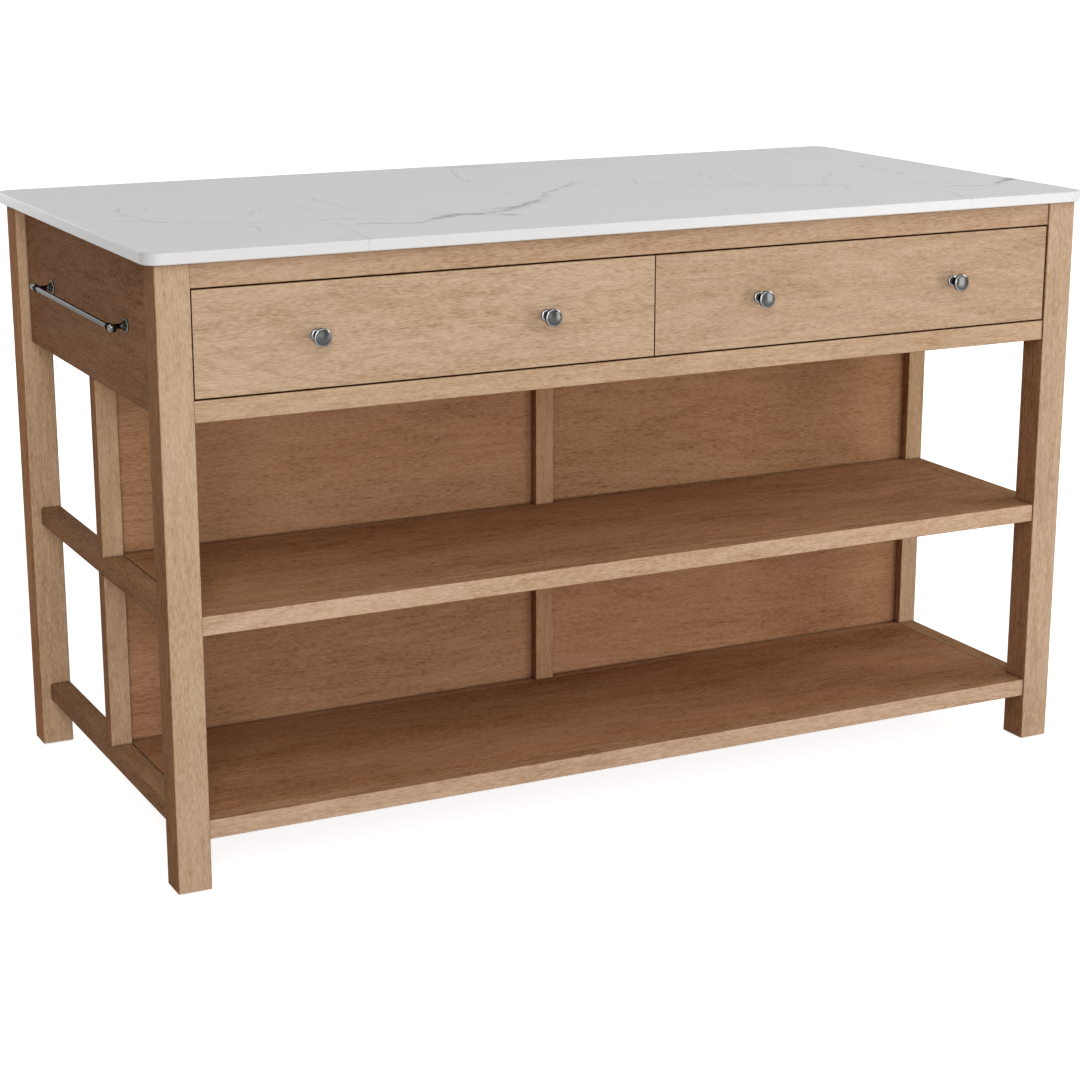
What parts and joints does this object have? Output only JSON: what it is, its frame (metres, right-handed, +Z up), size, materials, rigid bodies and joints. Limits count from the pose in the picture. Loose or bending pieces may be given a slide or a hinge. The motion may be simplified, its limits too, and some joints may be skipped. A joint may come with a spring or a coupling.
{
  "type": "kitchen island",
  "caption": "Timber kitchen island with a stone worktop, sliding drawers, open front shelves, a knee space at the back and a towel bar on the left side.",
  "frame": {"origin": "on the floor, under the middle of the whole unit's bounding box", "axes": "+X to the right along the worktop's length, front with the drawers towards -Y, +Z up"},
  "size_m": [1.548, 0.7886, 0.914],
  "materials": {
    "marble": "honed white marble with grey veins",
    "oak_timber": "matt clear lacquer on brushed light brown timber",
    "inner_timber": "planed and sealed",
    "dark_nickel": "polished dark nickel",
    "zinc_steel": "bright zinc plated",
    "glide_nylon": "moulded nylon"
  },
  "bodies": {
    "island": {"countertop": "marble", "leg_front_left": "oak_timber", "leg_front_right": "oak_timber", "leg_back_left": "oak_timber", "leg_back_right": "oak_timber", "leg_glides": "glide_nylon", "top_front_rail": "oak_timber", "lower_front_rail": "oak_timber", "back_apron": "oak_timber", "side_panel_left": "oak_timber", "side_panel_right": "oak_timber", "cross_board": "inner_timber", "centre_partition": "inner_timber", "slide_packers": "inner_timber", "worktop_battens": "inner_timber", "worktop_batten_screws": "zinc_steel", "mid_stretcher_left": "oak_timber", "mid_stretcher_right": "oak_timber", "low_stretcher_left": "oak_timber", "low_stretcher_right": "oak_timber", "mid_shelf_front_rail": "oak_timber", "mid_shelf_back_rail": "oak_timber", "low_shelf_front_rail": "oak_timber", "low_shelf_back_rail": "oak_timber", "mid_shelf_panel": "oak_timber", "low_shelf_panel": "oak_timber", "shelf_cleats": "inner_timber", "post_upper_left": "oak_timber", "post_upper_right": "oak_timber", "post_lower_left": "oak_timber", "post_lower_right": "oak_timber", "stile_upper": "oak_timber", "stile_lower": "oak_timber", "back_panel_upper_left": "oak_timber", "back_panel_upper_right": "oak_timber", "back_panel_lower_left": "oak_timber", "back_panel_lower_right": "oak_timber", "slide_cabinet_members": "zinc_steel", "slide_cabinet_screws": "zinc_steel", "towel_bar": "dark_nickel", "towel_bar_posts": "dark_nickel", "towel_bar_screws": "zinc_steel"},
    "drawer_left": {"drawer_left_front": "oak_timber", "drawer_left_side_inner": "inner_timber", "drawer_left_side_outer": "inner_timber", "drawer_left_back": "inner_timber", "drawer_left_bottom": "inner_timber", "drawer_left_knobs": "dark_nickel", "drawer_left_screws": "zinc_steel", "drawer_left_slide_members": "zinc_steel"},
    "drawer_right": {"drawer_right_front": "oak_timber", "drawer_right_side_inner": "inner_timber", "drawer_right_side_outer": "inner_timber", "drawer_right_back": "inner_timber", "drawer_right_bottom": "inner_timber", "drawer_right_knobs": "dark_nickel", "drawer_right_screws": "zinc_steel", "drawer_right_slide_members": "zinc_steel"},
    "slide_middle_left": {"drawer_left_slide_middles": "zinc_steel"},
    "slide_middle_right": {"drawer_right_slide_middles": "zinc_steel"}
  },
  "joints": [
    {"name": "drawer_left_slide", "type": "slide", "parent": "island", "child": "drawer_left", "axis": [0, -1, 0], "range_m": [0, 0.3]},
    {"name": "drawer_right_slide", "type": "slide", "parent": "island", "child": "drawer_right", "axis": [0, -1, 0], "range_m": [0, 0.3]},
    {"name": "slide_middle_left_travel", "type": "slide", "parent": "island", "child": "slide_middle_left", "axis": [0, -1, 0], "range_m": [0, 0.15]},
    {"name": "slide_middle_right_travel", "type": "slide", "parent": "island", "child": "slide_middle_right", "axis": [0, -1, 0], "range_m": [0, 0.15]}
  ],
  "couplings": [
    {"joint": "slide_middle_left_travel", "follows": "drawer_left_slide", "ratio": 0.5},
    {"joint": "slide_middle_right_travel", "follows": "drawer_right_slide", "ratio": 0.5}
  ]
}
